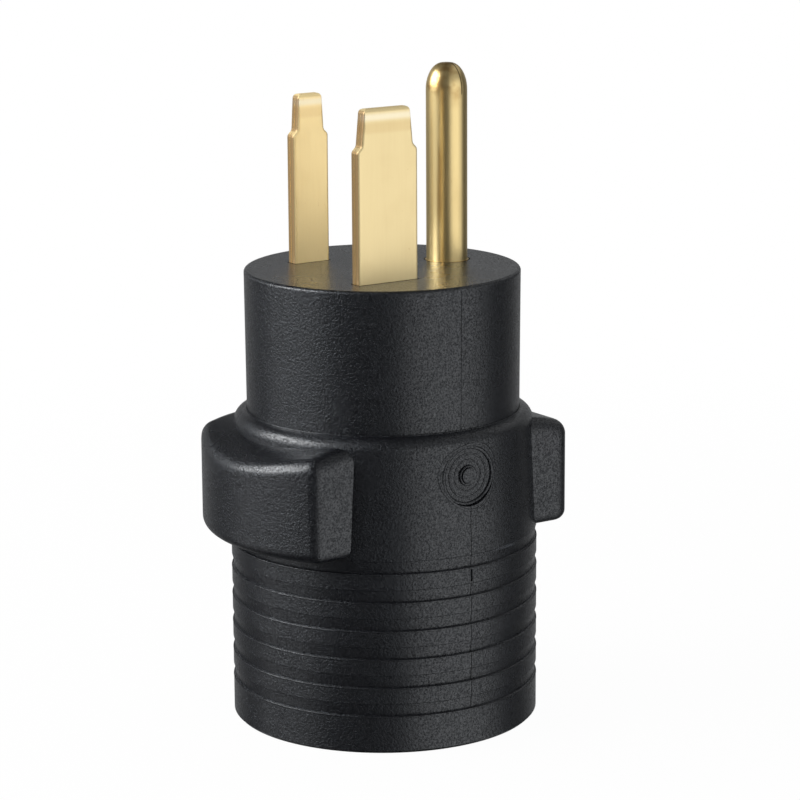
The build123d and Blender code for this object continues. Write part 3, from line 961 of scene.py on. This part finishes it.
@dataclass
class Prongs:
    """Two folded blades and the earth pin, and painted shade in the narrow gaps round them in the prong
    face: a dark line on the face round each.
    """

    spacing: float = 21.3 * MM
    row: float = -6.5 * MM
    thickness: float = 2.1 * MM
    wide: float = 10.6 * MM
    narrow: float = 6.35 * MM
    pin_row: float = 12.0 * MM
    pin_radius: float = 3.4 * MM
    face: float = 70.0 * MM
    gap: float = 0.09 * MM
    depth: float = 0.025 * MM
    squareness: float = 0.12
    blade_points: int = 160
    first_point: float = 0.01
    pin_points: int = 72

    def gap_shade_line(self, name: str, outline: np.ndarray) -> bpy.types.Object:
        """Makes the painted shade of one gap, a flat dark bead on the prong face.

        Args:
            name: The piece's name.
            outline: The gap's middle line, an array of points by two.

        Returns:
            The line.
        """
        path = np.column_stack([outline, np.full(len(outline), self.face)])
        up = np.tile((0.0, 0.0, 1.0), (len(path), 1))
        bead = sweep_bead(path, up, self.gap, self.depth, closed=True)
        return grid_mesh(name, bead, round_rows=True, round_columns=True)

    def blade_outline(self, side: Side) -> np.ndarray:
        """The middle line of the gap round one blade.

        The point at angle a is the blade's middle plus (u * q(cos a), v * q(sin a)), where u and
        v are half the blade's sizes and the gap, and q(c) = sign(c) * |c|^e squares the ring with a
        small exponent e.

        Args:
            side: The blade's side.

        Returns:
            An array of points by two.
        """
        angle = circle(self.blade_points)[0] + self.first_point
        width = self.wide if side is Side.WIDE else self.narrow
        cosine, sine = np.cos(angle), np.sin(angle)
        u, v = self.thickness / 2 + self.gap, width / 2 + self.gap
        x = side.value * self.spacing / 2 + u * np.sign(cosine) * np.abs(cosine) ** self.squareness
        y = self.row + v * np.sign(sine) * np.abs(sine) ** self.squareness
        return np.stack([x, y], axis=1)

    def pin_outline(self) -> np.ndarray:
        """The middle line of the gap round the pin, a circle."""
        return (self.pin_radius + self.gap) * circle(self.pin_points)[1][:, :2] + (0, self.pin_row)

    def build(self) -> None:
        """Dresses the prongs and adds the painted shade lines in the gaps round them."""
        dress(BLADE_BRASS.material(), "wide_blade")
        dress(NARROW_BRASS_PAINTED_LIGHTER.material(), "narrow_blade")
        dress(PIN_BRASS.material(), "ground_pin")
        shade = GAP_SHADE.material()
        for side in Side:
            line = self.gap_shade_line(f"gap_{side.name.lower()}_blade", self.blade_outline(side))
            add_piece(line, shade)
        add_piece(self.gap_shade_line("gap_pin", self.pin_outline()), shade)


@dataclass
class Internals:
    """Contacts, leads, screws and carriers inside the shell."""

    def build(self) -> None:
        """Dresses the inner pieces."""
        dress(INNER_PLASTIC.material(), "prong_bridge", "contact_retainer")
        dress(CONTACT_BRASS.material(), "wide_contact", "narrow_contact", "earth_contact")
        dress(SPRING_STEEL.material(), "earth_spring", "bridge_screws", "retainer_screws")
        dress(LEAD_COPPER.material(), "wide_lead", "narrow_lead", "earth_lead")
        dress(WHITE_JACKET.material(), "wide_jacket")
        dress(BLACK_JACKET.material(), "narrow_jacket")
        dress(GREEN_JACKET.material(), "earth_jacket")
        dress(CRIMP_SLEEVE.material(), "wide_sleeve", "narrow_sleeve", "earth_sleeve")


@dataclass(frozen=True)
class Card:
    """A pale card that only gloss sees, far off, with soft edges.

    Each pair says where an edge starts and where it is complete, as the part of a direction's
    length that lies to the camera's right, away from the camera, or up. No pair, no edge.
    """

    name: str
    brightness: float
    aside: Optional[Pair] = None
    away: Optional[Pair] = None
    height: Optional[Pair] = None

    def light(self, aside: Value, away: Value, height: Value) -> Operand:
        """Works out the card's light.

        Args:
            aside: The part of the direction to the camera's right.
            away: The part away from the camera.
            height: The part upwards.

        Returns:
            The brightness in that direction.
        """
        lit: Operand = self.brightness
        for part, edge in ((aside, self.aside), (away, self.away), (height, self.height)):
            if edge is not None:
                lit = lit * part.over(*edge)
        return lit


@dataclass(frozen=True)
class Softbox:
    """One upright studio panel, placed by its turn from the camera's side of the adapter."""

    name: str
    turn: float
    distance: float
    width: float
    low: float
    high: float
    brightness: float
    lean: float

    def build(self, camera_azimuth: float) -> None:
        """Adds the panel; its power is its brightness over its area, times pi.

        Args:
            camera_azimuth: The camera's azimuth, in degrees.
        """
        around = math.radians(camera_azimuth + self.turn)
        outward = Vector((math.sin(around), -math.cos(around), 0))
        middle = outward * self.distance + Vector((0, 0, (self.low + self.high) / 2))
        facing = outward * math.cos(math.radians(self.lean))
        facing += Vector((0, 0, math.sin(math.radians(self.lean))))
        lamp = bpy.data.lights.new(self.name, "AREA")
        lamp.shape = "RECTANGLE"
        lamp.size, lamp.size_y = self.width, self.high - self.low
        lamp.energy = self.brightness * math.pi * lamp.size * lamp.size_y
        light = bpy.data.objects.new(self.name, lamp)
        turned = facing.to_track_quat("Z", "Y").to_matrix().to_4x4()
        light.matrix_world = Matrix.Translation(middle) @ turned
        light.visible_camera = False
        bpy.context.scene.collection.objects.link(light)


@dataclass
class Studio:
    """White floor and surround, a softbox, and the camera at the photograph's viewing angle."""

    azimuth: float = 56.3
    pitch: float = 12.66
    roll: float = 0.33
    place: Tuple[float, float, float] = (0.3770, -0.2483, 0.1505)
    lens: float = 135.0
    sensor: float = 36.0
    nearest: float = 0.01
    floor_radius: float = 0.30
    floor_hub: float = 0.02
    floor_rings: int = 24
    floor_spokes: int = 96
    floor_rim: Pair = (0.45, 0.98)
    floor_shown: float = 0.97
    paper: float = 0.5
    paper_flecks: float = 1.04
    paper_grain: Pattern = Pattern(4 * MM)
    fill: float = 1.0
    room: float = 0.008
    cards: Tuple[Card, ...] = (
        Card("sweep", 0.26, away=(0.40, 1.0), height=(0.45, 0.28)),
        Card("left card", 0.60, aside=(-0.62, -0.84), away=(0.50, 0.10), height=(0.10, 0.0)),
        Card("right card", 1.35, aside=(0.12, 0.55), away=(0.30, -0.35), height=(0.45, 0.25)),
        Card("top card", 0.45, aside=(0.15, 0.50), height=(0.30, 0.50)),
    )
    box: Softbox = Softbox("left box", turn=-81.0, distance=0.65, width=0.62, low=0.16, high=0.60,
                           brightness=9.5, lean=22.0)

    def ahead(self) -> Vector:
        """The camera's level direction of view."""
        turn = math.radians(self.azimuth)
        return Vector((-math.sin(turn), math.cos(turn), 0))

    def camera(self) -> None:
        """Makes the camera: it looks down by the pitch, and its right side drops by the roll."""
        drop, tilt = math.radians(self.pitch), math.radians(self.roll)
        ahead = self.ahead() * math.cos(drop) - Vector((0, 0, math.sin(drop)))
        right = self.ahead().cross(Vector((0, 0, 1)))
        up = right.cross(ahead)
        side = right * math.cos(tilt) - up * math.sin(tilt)
        top = up * math.cos(tilt) + right * math.sin(tilt)
        lens = bpy.data.cameras.new("camera")
        lens.lens, lens.sensor_width = self.lens, self.sensor
        lens.clip_start = self.nearest
        camera = bpy.data.objects.new("camera", lens)
        turned = Matrix((side, top, -ahead)).transposed().to_4x4()
        camera.matrix_world = Matrix.Translation(self.place) @ turned
        bpy.context.scene.collection.objects.link(camera)
        bpy.context.scene.camera = camera

    def floor(self) -> None:
        """Makes the floor: a disc of rings and spokes with the adapter's shadow.

        The camera sees most of it as white, and all of it towards its rim, so that it runs into
        the surround. From below it isn't seen.
        """
        _, spokes = circle(self.floor_spokes)
        radius = np.linspace(self.floor_hub, 1, self.floor_rings) * self.floor_radius
        points = radius[:, None, None] * spokes[None, :, :]
        floor = grid_mesh("floor", points, round_columns=True, close_first=True)
        s = Shader(bpy.data.materials.new("floor paper"))
        x, y, _ = s.axes()
        rim = (x * x + y * y).root().over(*(share * self.floor_radius for share in self.floor_rim))
        shown = s.ray(Ray.CAMERA) * (self.floor_shown + (1 - self.floor_shown) * rim)
        paler = self.paper_flecks * self.paper
        paper = s.mix(s.noise(self.paper_grain), (self.paper,) * 3, (paler,) * 3)
        matte = s.node("ShaderNodeBsdfDiffuse", {}, {"Color": paper})[0]
        glow = s.node("ShaderNodeEmission", {}, {"Color": (1.0, 1.0, 1.0), "Strength": 1.0})[0]
        clear = s.node("ShaderNodeBsdfTransparent", {}, {})[0]
        underside = s.node("ShaderNodeNewGeometry", {}, {})[6]
        both = s.node("ShaderNodeMixShader", {}, {0: shown, 1: matte, 2: glow})[0]
        sheet = s.node("ShaderNodeMixShader", {}, {0: underside, 1: both, 2: clear})[0]
        s.node("ShaderNodeOutputMaterial", {}, {"Surface": sheet})
        floor.data.materials.append(s.home)
        floor.visible_glossy = False

    def world(self) -> None:
        """Makes the surround.

        The camera sees white. Gloss sees a pale sweep behind the adapter, a pale card on its
        left, another on its right and a third over it, and a dark room on the camera's side
        between them. The rest is plain fill.
        """
        world = bpy.data.worlds.new("surround")
        s = Shader(world)
        direction = s.node("ShaderNodeTexCoord", {}, {})[0]
        dot = {"operation": "DOT_PRODUCT"}
        right = tuple(self.ahead().cross(Vector((0, 0, 1))))
        away = s.node("ShaderNodeVectorMath", dot, {0: direction, 1: tuple(self.ahead())})[1]
        aside = s.node("ShaderNodeVectorMath", dot, {0: direction, 1: right})[1]
        height = s.node("ShaderNodeSeparateXYZ", {}, {0: direction})[2]
        gloss: Operand = self.room
        for card in self.cards:
            gloss = gloss + card.light(aside, away, height)
        strength = s.ray(Ray.CAMERA) + s.ray(Ray.TRANSMISSION) + s.ray(Ray.GLOSSY) * gloss
        strength = strength + s.ray(Ray.DIFFUSE) * self.fill
        inputs = {"Color": (1.0, 1.0, 1.0), "Strength": strength}
        back = s.node("ShaderNodeBackground", {}, inputs)[0]
        s.node("ShaderNodeOutputWorld", {}, {"Surface": back})
        world.cycles.sampling_method = "NONE"
        bpy.context.scene.world = world

    def build(self) -> None:
        """Makes the camera, floor, surround and light."""
        bpy.context.scene.view_settings.view_transform = "Standard"
        self.camera()
        self.floor()
        self.world()
        self.box.build(self.azimuth)


def main() -> None:
    """Builds the studio and the adapter's sub-assemblies in order."""
    logging.basicConfig(level=logging.INFO, format="%(name)s: %(message)s")
    for part in (Studio(), GripBody(), PlugNose(), Prongs(), Internals()):
        log.info("building %s", type(part).__name__)
        part.build()


if __name__ == "__main__":
    main()
